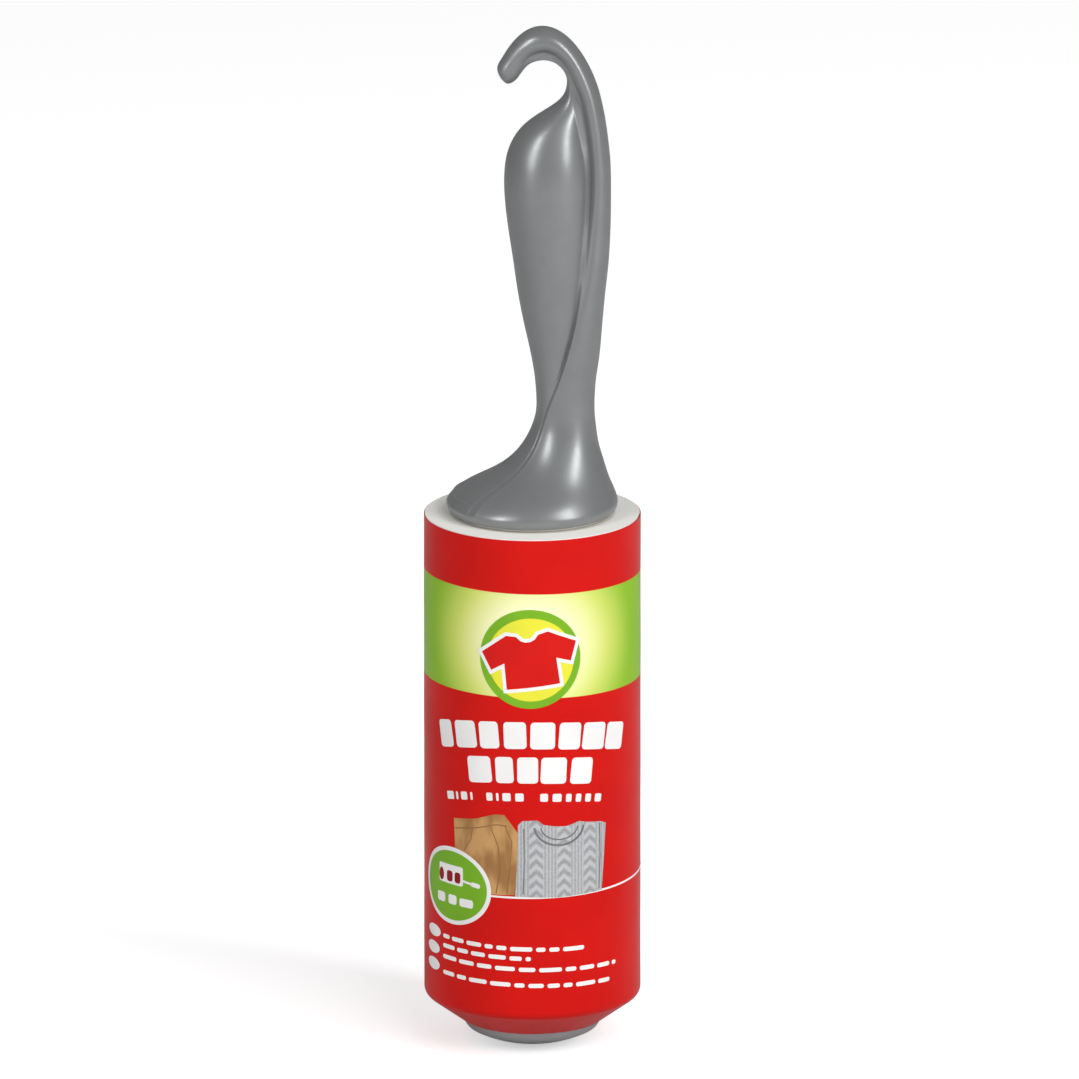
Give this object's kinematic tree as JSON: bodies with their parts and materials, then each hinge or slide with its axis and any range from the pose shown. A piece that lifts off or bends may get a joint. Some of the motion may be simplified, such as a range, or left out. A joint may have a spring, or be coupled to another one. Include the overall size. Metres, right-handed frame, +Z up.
{
  "type": "lint roller",
  "caption": "Hand-held lint roller: hook-ended grip with a flared collar, a free-running cage and a slide-on refill of adhesive paper in a printed shrink sleeve.",
  "frame": {"origin": "lowest point of the end cap's dome, on the roller's axis", "axes": "+Z up along the roller's axis towards the handle; the hook opens towards -X; the handle is symmetric about the XZ plane"},
  "size_m": [0.033, 0.033, 0.1591],
  "materials": {
    "handle_plastic": "satin moulded, slightly metallic grey",
    "cap_plastic": "satin moulded grey",
    "cage_plastic": "plain moulded grey",
    "axle_steel": "drawn",
    "clip_steel": "spring steel",
    "washer_acetal": "natural acetal",
    "core_board": "pale paperboard",
    "adhesive_paper": "ivory coated paper",
    "printed_film": "printed shrink film, red with a green band"
  },
  "bodies": {
    "handle": {"handle_front_shell": "handle_plastic", "handle_rear_shell": "handle_plastic", "collar_disc": "handle_plastic", "axle": "axle_steel", "upper_thrust_washer": "washer_acetal", "lower_thrust_washer": "washer_acetal", "axle_clip": "clip_steel"},
    "roller_cage": {"cage_upper_hub": "cage_plastic", "cage_tube": "cage_plastic", "cage_lower_hub": "cage_plastic", "end_cap": "cap_plastic"},
    "refill": {"core_inner_ply": "core_board", "core_middle_ply": "core_board", "core_outer_ply": "core_board", "sheet_01": "adhesive_paper", "sheet_02": "adhesive_paper", "sheet_03": "adhesive_paper", "sheet_04": "adhesive_paper", "sheet_05": "adhesive_paper", "sheet_06": "adhesive_paper", "sheet_07": "adhesive_paper", "sheet_08": "adhesive_paper", "sheet_09": "adhesive_paper", "sheet_10": "adhesive_paper", "sheet_11": "adhesive_paper", "sheet_12": "adhesive_paper", "sheet_13": "adhesive_paper", "sheet_14": "adhesive_paper", "sheet_15": "adhesive_paper", "sheet_16": "adhesive_paper", "sheet_17": "adhesive_paper", "sheet_18": "adhesive_paper", "sheet_19": "adhesive_paper", "sheet_20": "adhesive_paper", "sheet_21": "adhesive_paper", "sheet_22": "adhesive_paper", "sheet_23": "adhesive_paper", "sheet_24": "adhesive_paper", "sheet_25": "adhesive_paper", "sheet_26": "adhesive_paper", "sheet_27": "adhesive_paper", "sheet_28": "adhesive_paper", "sheet_29": "adhesive_paper", "sheet_30": "adhesive_paper"},
    "sleeve": {"printed_sleeve": "printed_film"}
  },
  "joints": [
    {"name": "roller_spin", "type": "hinge", "parent": "handle", "child": "roller_cage", "pos_m": [0, 0, 0], "axis": [0, 0, 1], "continuous": true},
    {"name": "refill_slide", "type": "slide", "parent": "roller_cage", "child": "refill", "axis": [0, 0, -1], "range_m": [0, 0.09]},
    {"name": "sleeve_slide", "type": "slide", "parent": "refill", "child": "sleeve", "axis": [0, 0, -1], "range_m": [0, 0.085]}
  ]
}
